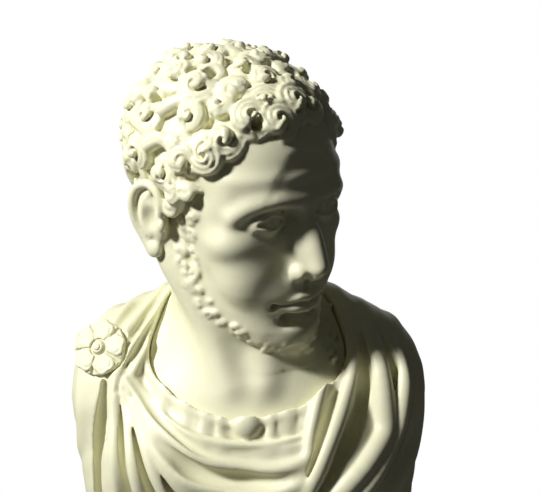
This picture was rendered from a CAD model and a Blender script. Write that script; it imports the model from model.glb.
"""A life-size marble portrait bust in tunic and cloak, on a turned socle and a square plinth."""
import math

import bpy
import numpy as np
import openvdb
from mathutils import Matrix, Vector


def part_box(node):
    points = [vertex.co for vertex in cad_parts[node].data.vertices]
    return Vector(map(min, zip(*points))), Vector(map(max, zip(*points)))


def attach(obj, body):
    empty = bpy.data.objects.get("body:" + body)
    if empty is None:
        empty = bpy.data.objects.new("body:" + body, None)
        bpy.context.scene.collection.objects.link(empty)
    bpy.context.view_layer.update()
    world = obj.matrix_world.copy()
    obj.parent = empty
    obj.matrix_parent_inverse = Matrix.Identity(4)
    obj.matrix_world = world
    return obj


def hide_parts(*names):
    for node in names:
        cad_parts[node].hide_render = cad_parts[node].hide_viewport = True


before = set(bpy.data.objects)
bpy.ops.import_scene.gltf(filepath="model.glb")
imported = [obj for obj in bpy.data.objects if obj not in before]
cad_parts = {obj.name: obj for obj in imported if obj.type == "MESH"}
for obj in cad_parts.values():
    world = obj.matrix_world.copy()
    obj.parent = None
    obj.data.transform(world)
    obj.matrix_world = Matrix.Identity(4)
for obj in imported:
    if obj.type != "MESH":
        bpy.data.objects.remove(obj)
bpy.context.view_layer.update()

MM = 0.001  # metres in a millimetre; the carving is done in millimetres
COARSE = 1.0
SEED = 7


# ---------------------------------------------------------------- camera
CAMERA_HEIGHT_ANGLE = math.radians(13)
CAMERA_DISTANCE = 0.95
CAMERA_AIM = (0.020, 0.0, 0.511)
CAMERA_LENS = 70


def set_camera():
    """A long lens at chest height that looks a little down."""
    camera = bpy.data.cameras.new("camera")
    camera.lens = CAMERA_LENS
    camera.sensor_width = 36
    camera.clip_start = 0.02
    stand = bpy.data.objects.new("camera", camera)
    bpy.context.collection.objects.link(stand)
    across, along, up = CAMERA_AIM
    stand.location = (across, along - CAMERA_DISTANCE * math.cos(CAMERA_HEIGHT_ANGLE),
                      up + CAMERA_DISTANCE * math.sin(CAMERA_HEIGHT_ANGLE))
    stand.rotation_euler = (math.pi / 2 - CAMERA_HEIGHT_ANGLE, 0, 0)
    bpy.context.scene.camera = stand


# ---------------------------------------------------------------- clay
# A form is (low corner, high corner, distance), where distance(x, y, z) is negative inside it.
def soft_union(a, b, blend):
    if blend <= 0:
        return np.minimum(a, b)
    close = np.maximum(blend - np.abs(a - b), 0) / blend
    return np.minimum(a, b) - close * close * (blend / 4)


def soft_max(a, b, blend):
    return -soft_union(-a, -b, blend)


def egg(middle, radii, axes=None):
    """An ellipsoid. The columns of axes are its own directions."""
    mx, my, mz = middle
    rx, ry, rz = radii
    reach = np.array(radii, float) if axes is None else np.full(3, max(radii), float)

    def distance(x, y, z):
        px, py, pz = x - mx, y - my, z - mz
        if axes is not None:
            px, py, pz = (axes[0][i] * px + axes[1][i] * py + axes[2][i] * pz for i in range(3))
        near = np.sqrt((px / rx) ** 2 + (py / ry) ** 2 + (pz / rz) ** 2)
        slope = np.sqrt((px / rx**2) ** 2 + (py / ry**2) ** 2 + (pz / rz**2) ** 2)
        return near * (near - 1) / np.maximum(slope, 1e-4)

    return np.array(middle) - reach, np.array(middle) + reach, distance


def roll(start, end, start_radius, end_radius):
    """A round roll of clay between two points."""
    start, end = np.array(start, float), np.array(end, float)
    along = end - start
    square = max(float(along @ along), 1e-6)
    thick = max(start_radius, end_radius)

    def distance(x, y, z):
        px, py, pz = x - start[0], y - start[1], z - start[2]
        t = np.clip((px * along[0] + py * along[1] + pz * along[2]) / square, 0, 1)
        px, py, pz = px - t * along[0], py - t * along[1], pz - t * along[2]
        return np.sqrt(px * px + py * py + pz * pz) - (start_radius + t * (end_radius - start_radius))

    return np.minimum(start, end) - thick, np.maximum(start, end) + thick, distance


def drum(start, end, radius):
    """A flat-ended drum between two points."""
    start, end = np.array(start, float), np.array(end, float)
    along = end - start
    length = float(np.linalg.norm(along))
    along = along / length

    def distance(x, y, z):
        px, py, pz = x - start[0], y - start[1], z - start[2]
        up = px * along[0] + py * along[1] + pz * along[2]
        out = np.sqrt(np.maximum(px * px + py * py + pz * pz - up * up, 0))
        return np.maximum(out - radius, np.abs(up - length / 2) - length / 2)

    return np.minimum(start, end) - radius, np.maximum(start, end) + radius, distance


OUTSIDE = 100.0  # the distance that empty clay starts with
MEET_REACH = 120
MEET_STEP = 0.4


class Clay:
    """A block of clay that forms are pressed on to and carved from, on a grid of the given pitch."""

    def __init__(self, low, high, pitch):
        self.low = np.array(low, float)
        self.pitch = pitch
        self.count = np.ceil((np.array(high) - self.low) / pitch).astype(int) + 1
        self.empty = 4 * pitch
        self.field = np.full(self.count, OUTSIDE, np.float32)

    def part(self, low, high, margin):
        """The slices and the coordinates of the grid that lie in a box widened by a margin."""
        first = np.floor((np.array(low) - margin - self.low) / self.pitch).astype(int)
        last = np.ceil((np.array(high) + margin - self.low) / self.pitch).astype(int) + 1
        first, last = np.clip(first, 0, self.count), np.clip(last, 0, self.count)
        spans = tuple(slice(a, b) for a, b in zip(first, last))
        x, y, z = (np.arange(a, b, dtype=np.float32) * self.pitch + self.low[i]
                   for i, (a, b) in enumerate(zip(first, last)))
        return spans, (x[:, None, None], y[None, :, None], z[None, None, :])

    def press(self, form, blend=0.0, carve=False):
        """Presses a form on, or carves it out, with a rounded seam as wide as the blend."""
        low, high, distance = form
        spans, points = self.part(low, high, blend + 3 * self.pitch)
        if self.field[spans].size:
            self.merge(spans, distance(*points), blend, carve)

    def carve(self, form, blend=0.0):
        self.press(form, blend, carve=True)

    def strand(self, points, radii, blend=0.0, carve=False):
        """A strand through the points, pressed on or carved as one."""
        points = np.array(points, float)
        radii = np.broadcast_to(np.array(radii, float), len(points))
        thick = radii.max()
        margin = blend + 3 * self.pitch
        spans, _ = self.part(points.min(0) - thick, points.max(0) + thick, margin)
        starts = np.array([s.start for s in spans])
        there = np.full([s.stop - s.start for s in spans], OUTSIDE, np.float32)
        if not there.size:
            return
        for i in range(len(points) - 1):
            low, high, distance = roll(points[i], points[i + 1], radii[i], radii[i + 1])
            near, places = self.part(low, high, margin)
            local = tuple(slice(s.start - a, s.stop - a) for s, a in zip(near, starts))
            there[local] = np.minimum(there[local], distance(*places))
        self.merge(spans, there, blend, carve)

    def merge(self, spans, there, blend, carve):
        here = self.field[spans]
        self.field[spans] = -soft_union(-here, there, blend) if carve else soft_union(here, there, blend)

    def soften(self, passes):
        """Wears the whole surface a little, so that no sliver or step is left."""
        for _ in range(passes):
            for axis in range(3):
                f = np.moveaxis(self.field, axis, 0)
                f[1:-1] = 0.25 * f[:-2] + 0.5 * f[1:-1] + 0.25 * f[2:]

    def meet(self, start, direction):
        """Where a line from outside first meets the clay."""
        points = start + np.arange(0, MEET_REACH, MEET_STEP)[:, None] * direction
        index = np.clip(np.rint((points - self.low) / self.pitch).astype(int), 0, self.count - 1)
        return points[(self.field[tuple(index.T)] < 0).argmax()]


def flow(points, count):
    """Points spaced along the smooth curve through the given ones."""
    p = np.array(points, float)
    p = np.vstack([2 * p[0] - p[1], p, 2 * p[-1] - p[-2]])
    places = np.linspace(0, len(p) - 3 - 1e-9, count)
    i = places.astype(int)
    t = (places - i)[:, None]
    a, b, c, d = p[i], p[i + 1], p[i + 2], p[i + 3]
    return 0.5 * (2 * b + (c - a) * t + (2 * a - 5 * b + 4 * c - d) * t**2 + (3 * b - a - 3 * c + d) * t**3)


def cast(clay, name, most_faces, place=None):
    """Turns clay to a smooth mesh in metres, keeping its largest body, with at most so many triangles."""
    grid = openvdb.FloatGrid(clay.empty)
    grid.copyFromArray(np.clip(clay.field, -clay.empty, clay.empty).astype(np.float32))
    points, triangles, quads = grid.convertToPolygons(0.0, 0.0)
    points = points * clay.pitch + clay.low
    if place is not None:
        points = points @ place[0].T + place[1]
    corners = np.vstack([quads[:, [0, 1, 2]], quads[:, [0, 2, 3]], triangles]).astype(np.int64)
    corners = largest_body(corners, len(points))
    used, corners = np.unique(corners, return_inverse=True)
    corners = corners.reshape(-1, 3)
    points = points[used] * MM
    a, b, c = (points[corners[:, i]] for i in range(3))
    if np.einsum("ij,ij->i", a, np.cross(b, c)).sum() < 0:
        corners = corners[:, ::-1]
    mesh = bpy.data.meshes.new(name)
    mesh.vertices.add(len(points))
    mesh.vertices.foreach_set("co", points.astype(np.float32).ravel())
    mesh.loops.add(corners.size)
    mesh.loops.foreach_set("vertex_index", corners.astype(np.int32).ravel())
    mesh.polygons.add(len(corners))
    mesh.polygons.foreach_set("loop_start", np.arange(0, corners.size, 3, dtype=np.int32))
    mesh.update(calc_edges=True)
    piece = bpy.data.objects.new(name, mesh)
    bpy.context.collection.objects.link(piece)
    if len(corners) > most_faces:
        thin = piece.modifiers.new("thin", "DECIMATE")
        thin.ratio = most_faces / len(corners)
        apply_modifiers(piece)
    piece.data.shade_smooth()
    return piece


def largest_body(corners, count):
    """The triangles of the body that has most of them."""
    label = np.arange(count)
    while True:
        low = label[corners].min(1)
        new = label.copy()
        for i in range(3):
            np.minimum.at(new, corners[:, i], low)
        new = new[new]
        if np.array_equal(new, label):
            break
        label = new
    names, sizes = np.unique(label[corners[:, 0]], return_counts=True)
    return corners[label[corners[:, 0]] == names[sizes.argmax()]]


def clear_selection():
    bpy.ops.object.select_all(action="DESELECT")


def choose(piece):
    clear_selection()
    piece.select_set(True)
    bpy.context.view_layer.objects.active = piece


def apply_modifiers(piece):
    choose(piece)
    for modifier in list(piece.modifiers):
        bpy.ops.object.modifier_apply(modifier=modifier.name)


# ---------------------------------------------------------------- the torso under the cloth
BUST_HALF_WIDTH = 160
BUST_HALF_DEPTH = 104
BUST_HEIGHT = 320
BUST_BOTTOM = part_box("draped_bust")[0][2] / MM
SKIN_DEPTH = 1.5  # how far the modelled masses lie under the shares below

TORSO_MASSES = [  # place and size as shares of half width, half depth and height, and whether mirrored
    ((0, 0, 0.48), (0.9, 1, 0.53), False),  # chest
    ((0.68, 0.06, 0.7), (0.33, 0.6, 0.235), True),  # shoulder
    ((0.64, 0.02, 0.5), (0.31, 0.64, 0.33), True),  # upper arm
    ((0.37, 0.3, 0.86), (0.26, 0.44, 0.145), True),  # slope of the neck
    ((0.55, 0.18, 0.82), (0.26, 0.46, 0.135), True),
    ((0, 0.5, 0.78), (0.5, 0.46, 0.25), False),  # upper back
    ((0.32, -0.5, 0.58), (0.42, 0.47, 0.17), True),  # breast
]


def on_bust(x, y, z):
    """Millimetres of places given as shares of the bust."""
    places = np.broadcast_arrays(x * BUST_HALF_WIDTH, y * BUST_HALF_DEPTH, BUST_BOTTOM + z * BUST_HEIGHT)
    return np.stack(places, -1).astype(float)


def torso_eggs():
    eggs = []
    for place, size, mirrored in TORSO_MASSES:
        radii = np.array(size) * (BUST_HALF_WIDTH, BUST_HALF_DEPTH, BUST_HEIGHT) - SKIN_DEPTH
        for side in (1, -1) if mirrored else (1,):
            eggs.append(egg(on_bust(side * place[0], *place[1:]), radii))
    return eggs


TORSO = torso_eggs()
TORSO_BLEND = 14


def torso_distance(x, y, z):
    whole = TORSO[0][2](x, y, z)
    for one in TORSO[1:]:
        whole = soft_union(whole, one[2](x, y, z), TORSO_BLEND)
    return whole


LAY_STEPS = 80
LAY_STRIDE = 0.8  # of the distance left, at each step
LAY_TOLERANCE = 0.5


def lay(starts, direction, lift=0.0):
    """Where lines from outside meet the surface that lies so far above the torso. Misses are left out."""
    points = np.array(starts, float)
    for _ in range(LAY_STEPS):
        step = torso_distance(*points.T) - lift
        points += LAY_STRIDE * step[:, None] * np.array(direction, float)
    return points, np.abs(step) < LAY_TOLERANCE


def laid(route, side, lifts):
    """A smooth route of shares laid on the torso from the front, the back or above, and which of it met."""
    across, other = flow(route, len(lifts)).T
    if side == "above":
        return lay(on_bust(across, other, 1.6), (0, 0, -1), lifts)
    forwards = 1 if side == "front" else -1
    return lay(on_bust(across, -3 * forwards, other), (0, forwards, 0), lifts)


# ---------------------------------------------------------------- the neckline
NECKLINE_HALF_WIDTH = 89
NECKLINE_LENGTH = 1.1
NECKLINE_TILT = math.radians(30)
NECKLINE = [
    (0, -1.0), (0.5, -0.88), (0.84, -0.62), (0.98, -0.32), (0.92, 0.04), (0.78, 0.4), (0.46, 0.7), (0, 0.82),
    (-0.46, 0.7), (-0.78, 0.4), (-0.92, 0.04), (-0.98, -0.32), (-0.84, -0.62), (-0.5, -0.88),
]
TENON_DEPTH = 26  # of its straight part, below the neckline's middle
TENON_BOWL_DEPTH = 38  # of the round end under it
TENON_BOWL_SHARE = 0.8  # its radius, of the neckline's half width
NECK_DOWEL_LENGTH = 60
GAP = 0.3  # between two pieces that touch
HOLE_SPARE = 0.9  # round a pin in its carved hole
neckline_middle = on_bust(0, -0.08, 0.895)
tilt_along = np.array([0, math.cos(NECKLINE_TILT), math.sin(NECKLINE_TILT)])
tilt_up = np.array([0, -math.sin(NECKLINE_TILT), math.cos(NECKLINE_TILT)])


def neckline_outline():
    shares = np.array(NECKLINE + NECKLINE[:2], float)
    curve = flow(np.column_stack([shares, np.zeros(len(shares))]), 200)[:, :2]
    return curve * (NECKLINE_HALF_WIDTH, NECKLINE_HALF_WIDTH * NECKLINE_LENGTH)


def neckline_reach():
    """The outline as a distance for each bearing round its middle."""
    curve = neckline_outline()
    bearing = np.arctan2(curve[:, 1], curve[:, 0])
    order = np.argsort(bearing)
    bearing, reach = bearing[order], np.hypot(curve[:, 0], curve[:, 1])[order]
    return (np.concatenate([bearing - 2 * math.pi, bearing, bearing + 2 * math.pi]), np.tile(reach, 3))


REACH = neckline_reach()


def well(grow):
    """All that lies inside the neckline, down to the tenon's straight edge and the bowl under it."""
    radius = TENON_BOWL_SHARE * NECKLINE_HALF_WIDTH + grow
    _, _, bowl = egg(neckline_middle - TENON_DEPTH * tilt_up, (radius, radius, TENON_BOWL_DEPTH + grow),
                     np.column_stack([(1, 0, 0), tilt_along, tilt_up]))

    def distance(x, y, z):
        px, py, pz = x - neckline_middle[0], y - neckline_middle[1], z - neckline_middle[2]
        along = py * tilt_along[1] + pz * tilt_along[2]
        up = py * tilt_up[1] + pz * tilt_up[2]
        reach = np.interp(np.arctan2(along, px), *REACH)
        straight = np.maximum(np.hypot(px, along) - reach - grow, -TENON_DEPTH - grow - up)
        return np.minimum(straight, bowl(x, y, z))

    return None, None, distance


def dowel_hole():
    """The ends and the radius of the hole that the dowel fills, half in the tenon and half in the bust."""
    dowel = np.array(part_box("neck_dowel")) / MM
    radius = (dowel[1][0] - dowel[0][0]) / 2 + HOLE_SPARE
    half = NECK_DOWEL_LENGTH / 2 + HOLE_SPARE
    middle = dowel.mean(0)
    return middle - half * tilt_up, middle + half * tilt_up, radius


# ---------------------------------------------------------------- the head
HEAD_TURN = math.radians(42)
HEAD_NOD = math.radians(7)
HEAD_LEAN = math.radians(-4)


def turned(axis, angle):
    c, s = math.cos(angle), math.sin(angle)
    return np.array({
        "x": [[1, 0, 0], [0, c, -s], [0, s, c]],
        "y": [[c, 0, s], [0, 1, 0], [-s, 0, c]],
        "z": [[c, -s, 0], [s, c, 0], [0, 0, 1]],
    }[axis])


HEAD_AXES = turned("z", HEAD_TURN) @ turned("y", HEAD_LEAN) @ turned("x", HEAD_NOD)
HEAD_MIDDLE = on_bust(-0.075, -0.17, 1.315)


def into_head(point):
    """A place on the bust, in the head's own frame: face towards -Y, origin between the ears."""
    return (np.array(point, float) - HEAD_MIDDLE) @ HEAD_AXES


def out_of_head(x, y, z):
    """Where places in the head's own frame lie on the bust."""
    return [axis[0] * x + axis[1] * y + axis[2] * z + middle for axis, middle in zip(HEAD_AXES, HEAD_MIDDLE)]


def pairs(x, y, z):
    return [(x, y, z), (-x, y, z)]


def mirrored(points, side):
    return np.array(points, float) * (side, 1, 1)


def both_sides(points):
    return [mirrored(points, 1), mirrored(points, -1)]


def tapered(count, shares, radii):
    """Radii of a strand's points, given at shares of its length."""
    return np.interp(np.linspace(0, 1, count), shares, radii)


FACE_LEVELS = [-118, -112, -100, -85, -65, -45, -20, 5, 32]
FACE_HALF_WIDTHS = [14, 25, 36, 46, 55, 61, 66, 68, 69]
FACE_FRONTS = [-85, -90, -92, -90, -91, -90, -89, -88, -90]
FACE_BACKS = [-64, -52, -36, -22, -10, 5, 20, 30, 40]
FACE_SQUARENESS = 2.3  # of its level sections, where 2 is an ellipse


def face_block():
    """The front of the face from hairline to chin, before its features."""
    def distance(x, y, z):
        level = np.clip(z, FACE_LEVELS[0], FACE_LEVELS[-1])
        half_width = np.interp(level, FACE_LEVELS, FACE_HALF_WIDTHS)
        front = np.interp(level, FACE_LEVELS, FACE_FRONTS)
        back = np.interp(level, FACE_LEVELS, FACE_BACKS)
        half_depth = (back - front) / 2
        px = np.abs(x / half_width) ** FACE_SQUARENESS
        py = np.abs((y - (front + back) / 2) / half_depth) ** FACE_SQUARENESS
        side = ((px + py) ** (1 / FACE_SQUARENESS) - 1) * np.minimum(half_width, half_depth)
        return soft_max(side, np.maximum(z - FACE_LEVELS[-1], FACE_LEVELS[0] - z), 6)

    return (-70, -95, FACE_LEVELS[0]), (70, 45, FACE_LEVELS[-1]), distance


def model_skull(clay):
    clay.press(egg((0, 6, 34), (74, 91, 80)))
    clay.press(egg((0, -36, 36), (61, 55, 46)), 20)
    clay.press(face_block(), 18)
    for side in pairs(84, -44, 26):
        clay.carve(egg(side, (13, 26, 22)), 16)


def model_jaw_and_cheeks(clay):
    for jaw in both_sides([(57, 6, -32), (56, -4, -56), (44, -34, -83), (26, -66, -104), (0, -80, -109)]):
        clay.strand(flow(jaw, 14), np.linspace(12, 10, 14), 16)
    clay.press(egg((0, -36, -92), (36, 38, 20)), 16)
    for side in pairs(47, -58, -22):
        clay.press(egg(side, (19, 16, 12)), 16)
    for side in pairs(36, -62, -52):
        clay.press(egg(side, (20, 18, 22)), 14)
    clay.press(egg((0, -81, -104), (20, 13, 12)), 10)


def model_brow_and_sockets(clay):
    for brow in both_sides([(4, -89, 13), (18, -91.5, 15), (34, -88, 17), (48, -78, 13), (57, -68, 4)]):
        clay.strand(flow(brow, 14), np.linspace(6, 4.2, 14), 12)
    clay.press(egg((0, -87, 15), (13, 7.5, 10)), 10)
    for side in pairs(31, -96, -3):
        clay.carve(egg(side, (19, 14.5, 11.5)), 10)
    for side in pairs(16, -94, 0):
        clay.carve(egg(side, (7, 9, 7)), 8)


EYE = (31.5, -74.5, -2)
EYE_OPENING = (14, 5.6, 4.4)  # half width, rise of the upper lid, drop of the lower
EYEBALL_RADIUS = 12.4


def opening_between_lids(middle):
    half, rise, drop = EYE_OPENING
    upper = (half**2 + rise**2) / (2 * rise)
    lower = (half**2 + drop**2) / (2 * drop)

    def distance(x, y, z):
        px, pz = x - middle[0], z - middle[2]
        top = np.hypot(px, pz - rise + upper) - upper
        bottom = np.hypot(px, pz + drop - lower) - lower
        return np.maximum(top, bottom) + 0 * y

    return distance


def model_eyes(clay):
    for side in (1, -1):
        across, depth, level = middle = (side * EYE[0], EYE[1], EYE[2])
        low, high, lids = egg(middle, (18.5, 14.6, 14.2))
        opening = opening_between_lids(middle)
        clay.press((low, high, lambda x, y, z: soft_max(lids(x, y, z), -opening(x, y, z), 0.8)), 3)
        clay.press(egg(middle, (15, EYEBALL_RADIUS, EYEBALL_RADIUS)), 0.4)
        over = [(19, -84, 5), (25, -88, 8.6), (32, -89.4, 9.6), (40, -86.4, 8), (47.5, -80, 3)]
        clay.strand(flow(mirrored(over, side), 14), 1.2, 1.6, carve=True)
        under = [(20, -85.5, -9), (31, -88.5, -13), (44, -83, -10)]
        clay.strand(flow(mirrored(under, side), 10), 1.4, 4, carve=True)
        # the outline of the iris, its slight dome and the drilled pupil
        front = depth - EYEBALL_RADIUS
        clay.carve(roll((across, front - 4, level + 1), (across, front + 0.7, level + 1), 5.4, 5.4), 0.6)
        clay.press(egg((across, depth + 0.6, level), (14.6, EYEBALL_RADIUS, 12.2)), 0.3)
        clay.carve(egg((across, front - 0.3, level + 1.6), (2.0, 2.6, 2.0)), 0.5)


def model_nose(clay):
    bridge = [(0, -84, 12), (0, -92, 0), (0, -100, -15), (0, -106.5, -29), (0, -110, -39)]
    clay.strand(flow(bridge, 12), np.linspace(5.8, 8.2, 12), 7)
    clay.press(egg((0, -90, -32), (15, 16, 25)), 10)
    for side in pairs(12.6, -95.5, -45):
        clay.press(egg(side, (5.4, 10, 6.6)), 6)
    for fold in both_sides([(18.5, -94.5, -37), (20, -92, -45), (16, -92, -52)]):
        clay.strand(flow(fold, 8), 1.5, 3, carve=True)
    clay.strand([(0, -108, -47), (0, -97, -53)], [4.2, 3.6], 3)
    for side in pairs(6.9, -102.5, -52):
        clay.carve(egg(side, (3.1, 5.5, 3.4)), 1.5)


def model_mouth(clay):
    clay.press(egg((0, -76, -68), (31, 18.5, 22)), 14)
    clay.strand([(0, -97.6, -56), (0, -99.6, -66)], 4, 3, carve=True)
    clay.strand(flow([(-15, -88.5, -89), (0, -94, -88), (15, -88.5, -89)], 8), 5.4, 7, carve=True)
    upper_lip = [(0, -96.6, -70.2), (7, -96.4, -68.8), (15, -93.4, -70.4), (25, -86, -74)]
    lower_lip = [(0, -95.4, -79), (9, -94.4, -79), (17, -90.8, -77.8), (24, -86, -75.6)]
    for side in (1, -1):
        clay.strand(flow(mirrored(upper_lip, side), 12), tapered(12, [0, 0.4, 1], [3.6, 3.6, 1.2]), 2.5)
        clay.strand(flow(mirrored(lower_lip, side), 12), tapered(12, [0, 0.5, 1], [4.8, 4.2, 1.2]), 2.5)
    line = [(26.5, -86.5, -75.2), (17, -94, -74.4), (8, -98.4, -73.6), (0, -99, -74.4)]
    whole = line + [(-x, y, z) for x, y, z in line[-2::-1]]
    clay.strand(flow(whole, 24), 1.25, 1.2, carve=True)
    for side in pairs(28, -86, -75.4):
        clay.carve(egg(side, (1.6, 1.6, 2)), 6)


def model_ears(clay):
    rim = [(75, 5, -13), (79, -1, -3), (80, 3, 10), (82, 14, 16), (85, 26, 10), (86, 31, -4), (84, 29, -20),
           (80, 22, -33), (77, 14, -44)]
    inner_rim = [(80, 12, 9), (82, 20, -2), (81.5, 21, -17), (79, 14, -30)]
    for side in (1, -1):
        clay.press(egg(mirrored((74, 15, -13), side), (6.5, 16, 27)), 5)
        clay.press(egg(mirrored((79, 20, -9), side), (5, 12, 23)), 4)
        clay.carve(egg(mirrored((86, 11, -15), side), (8, 8.5, 12)), 4)
        clay.strand(flow(mirrored(rim, side), 26), tapered(26, [0, 0.8, 1], [4, 4, 5]), 3)
        clay.strand(flow(mirrored(inner_rim, side), 12), 2.6, 2)
        clay.press(egg(mirrored((78.5, 0, -18), side), (3.5, 4.2, 6)), 2.5)
        clay.press(egg(mirrored((77, 12, -42), side), (4.5, 8, 8)), 3)


NAPE = (0, 8, -30)
NECK_RADIUS = 56
NECK_ROOT_RADIUS = 64
CHEST_BOX = ((-130, -130, -230), (130, 130, -60))
BARE_SKIN_DEPTH = 2.5  # under the cloth's lowest surface


def model_neck(clay):
    """The neck and the bare chest, down to the tenon that stands in the bust."""
    root = into_head(neckline_middle + (0, 6, -34))
    clay.press(roll(root, NAPE, NECK_ROOT_RADIUS, NECK_RADIUS), 18)
    spans, points = clay.part(*CHEST_BOX, 0)
    places = out_of_head(*points)
    inside = well(-GAP)[2](*places)
    skin = torso_distance(*places) + BARE_SKIN_DEPTH
    merged = soft_union(clay.field[spans], skin.astype(np.float32), 20)
    fade = np.clip((points[2] + 100) / 30, 0, 1)  # over the jaw nothing is cut off
    clay.field[spans] = np.where(fade < 1, soft_max(merged, inside - 60 * fade, 1.0), merged)
    low_end, high_end, radius = dowel_hole()
    clay.carve(drum(into_head(low_end), into_head(high_end), radius))
    for side in (1, -1):  # the cords from behind the ears to the pit of the neck
        end = into_head(on_bust(side * 0.09, -0.7, 0.81))
        middle = (end + np.array((side * 58, 20, -44))) / 2 + (0, -6, 0)
        clay.strand(flow([end, middle, (side * 60, 24, -40)], 10), np.linspace(2, 10, 10), 24)


# ---------------------------------------------------------------- hair
def tangents(outwards, bearing):
    """Two directions square to the outward one, the first at a bearing round it."""
    outwards = outwards / np.linalg.norm(outwards)
    side = np.cross(outwards, (0.1, 0.3, 1.0))
    side /= np.linalg.norm(side)
    other = np.cross(outwards, side)
    first = math.cos(bearing) * side + math.sin(bearing) * other
    return first, np.cross(outwards, first), outwards


def wind(base, size, bearing_frame, turns, s, ring, height):
    """Points round a lock that winds in as s runs from 0 to 1, at shares of its size out and up."""
    first, second, up = bearing_frame
    angle = 2 * math.pi * turns * s
    flat = np.cos(angle)[:, None] * first + np.sin(angle)[:, None] * second
    return base + size * (ring[:, None] * flat + height[:, None] * up)


GROOVE_SHARE = 0.075  # a carved groove's radius, of the size of its lock
HAIR_GROOVES = (-0.5, 0.15, 0.6)  # where they run across a lock, as shares of its thickness from its crest
DRILL_SPOT = np.array([0.78])  # its place along a lock's turn and out from its middle, as one share


def small_curl(clay, base, outwards, size, bearing, turns):
    """A lock of the beard, wound into a snail with a crease where it turns in."""
    facing = tangents(outwards, bearing)
    s = np.linspace(0, 1, 14)
    thickness = size * np.interp(s, [0, 0.35, 0.75, 1], [0.24, 0.38, 0.36, 0.30])
    clay.strand(wind(base, size, facing, turns, s, 0.64 - 0.46 * s, 0.02 + 0.32 * s**0.8), thickness, 1.4)
    s = np.linspace(0.42, 0.98, 8)
    crease = wind(base, size, facing, turns, s, 0.80 - 0.42 * s, 0.34 + 0.28 * s)
    clay.strand(crease, size * GROOVE_SHARE, 0.8, carve=True)


def plump_curl(clay, base, outwards, size, bearing, turns, drilled):
    """A thick lock that winds in to a round knob, with the groove and the drill hole that part its turns."""
    facing = tangents(outwards, bearing)
    up = facing[2]
    s = np.linspace(0, 1, 14)
    ring = 0.56 * (1 - s) ** 0.8 + 0.06 * s
    rise = 0.02 + 0.32 * s
    thickness = np.interp(s, [0, 0.3, 0.7, 1], [0.26, 0.40, 0.44, 0.35])
    clay.strand(wind(base, size, facing, turns, s, ring, rise), size * thickness, 1.2)
    for lean in HAIR_GROOVES:
        groove = wind(base, size, facing, turns, s, ring + lean * thickness,
                      rise + thickness * math.sqrt(0.88 - lean**2))
        clay.strand(groove[1:-1], size * GROOVE_SHARE, 1.0, carve=True)
    s = np.linspace(0, 0.6, 9)
    parting = wind(base, size, facing, turns, s, 0.48 - 0.14 * s, 0.44 + 0.24 * s)
    clay.strand(parting, size * 0.085, 1.2, carve=True)
    if drilled:
        hole = wind(base, size, facing, turns, DRILL_SPOT, DRILL_SPOT, np.array([0.0]))[0]
        clay.carve(roll(hole + size * up, hole - size * 0.16 * up, size * 0.29, size * 0.17), 1.2)


def wavy_lock(clay, base, outwards, length, bearing, thickness):
    """A long lock in a flat S, parted by a groove down its middle."""
    first, second, up = tangents(outwards, bearing)
    s = np.linspace(-0.5, 0.5, 14)
    sway = 0.16 * length * np.sin(2 * math.pi * s)
    drop = (s * length) ** 2 / 170
    full = np.sin(math.pi * (s + 0.5) * 0.94 + 0.1) ** 0.6
    rise = thickness * 0.65 - drop
    middle = base + np.outer(s * length, first) + np.outer(sway, second) + np.outer(rise, up)
    clay.strand(middle, thickness * full, 0.8)
    top = middle + np.outer(thickness * full * 0.96, up)
    clay.strand(top[2:-2], thickness * 0.13, 0.9, carve=True)


def carries_hair(point):
    """Above a low hairline, in front of the ears and down to the nape."""
    x, y, z = point
    side = abs(x)
    if y < -22:
        return z > 64 - 0.02 * max(0, side - 26) ** 2 + 0.16 * max(0, y + 78)
    if y < 2:
        return z > -2
    if y < 34:
        return z > 22
    return z > -52


HAIR_MIDDLE = np.array((0, 8, 37))
HAIR_RADII = np.array((78, 94, 79))
CURL_COUNT = 175
CURL_SIZES = (15.5, 22)
CURL_SCATTER = 0.045  # of the direction each stands in
WAVY_SHARE = 0.14  # of the locks, outside the fringe
UNDRILLED_SHARE = 0.28
GOLDEN_ANGLE = math.pi * (3 - math.sqrt(5))


def hair_cap(x, y, z):
    front = 58 - 0.02 * np.maximum(np.abs(x) - 24, 0) ** 2 - z
    behind = np.where(y > 30, -48 - z, 26 - z)
    edge = np.where(y < -20, front, behind)
    return soft_max(egg(HAIR_MIDDLE, HAIR_RADII)[2](x, y, z), edge + 0 * x, 8)


def model_hair(clay):
    random = np.random.default_rng(SEED)
    low, high, _ = egg(HAIR_MIDDLE, HAIR_RADII)
    clay.press((low, high, hair_cap), 6)
    for i in range(CURL_COUNT):
        up = 1 - 2 * (i + 0.5) / CURL_COUNT
        ring = math.sqrt(1 - up * up)
        direction = np.array((ring * math.cos(GOLDEN_ANGLE * i), ring * math.sin(GOLDEN_ANGLE * i), up))
        direction += random.normal(0, CURL_SCATTER, 3)
        direction /= np.linalg.norm(direction)
        base, outwards = HAIR_MIDDLE + HAIR_RADII * direction, direction / HAIR_RADII
        size = random.uniform(*CURL_SIZES)
        bearing, hand = random.uniform(0, 2 * math.pi), random.choice([-1, 1])
        turns, kind = hand * random.uniform(0.85, 1.2), random.random()
        if not carries_hair(base):
            continue
        fringe = base[1] < -40 and base[2] < 92
        drilled = kind > UNDRILLED_SHARE and direction[2] > -0.5  # lower down a drill would meet the neck
        if kind < WAVY_SHARE and not fringe:
            wavy_lock(clay, base, outwards, random.uniform(38, 50), bearing, random.uniform(5.5, 7.5))
        else:
            plump_curl(clay, base, outwards, size * (1.15 if fringe else 1), bearing, turns, drilled)


BEARD_ROUTE = [(66, -24, 18), (68, -20, -2), (67, -18, -24), (64, -16, -44), (59, -20, -64), (48, -40, -86),
               (33, -62, -104), (16, -80, -114), (0, -86, -117)]
BEARD_STEPS = 27
BEARD_ROWS = 2
BEARD_SCATTER = 1.9


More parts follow.
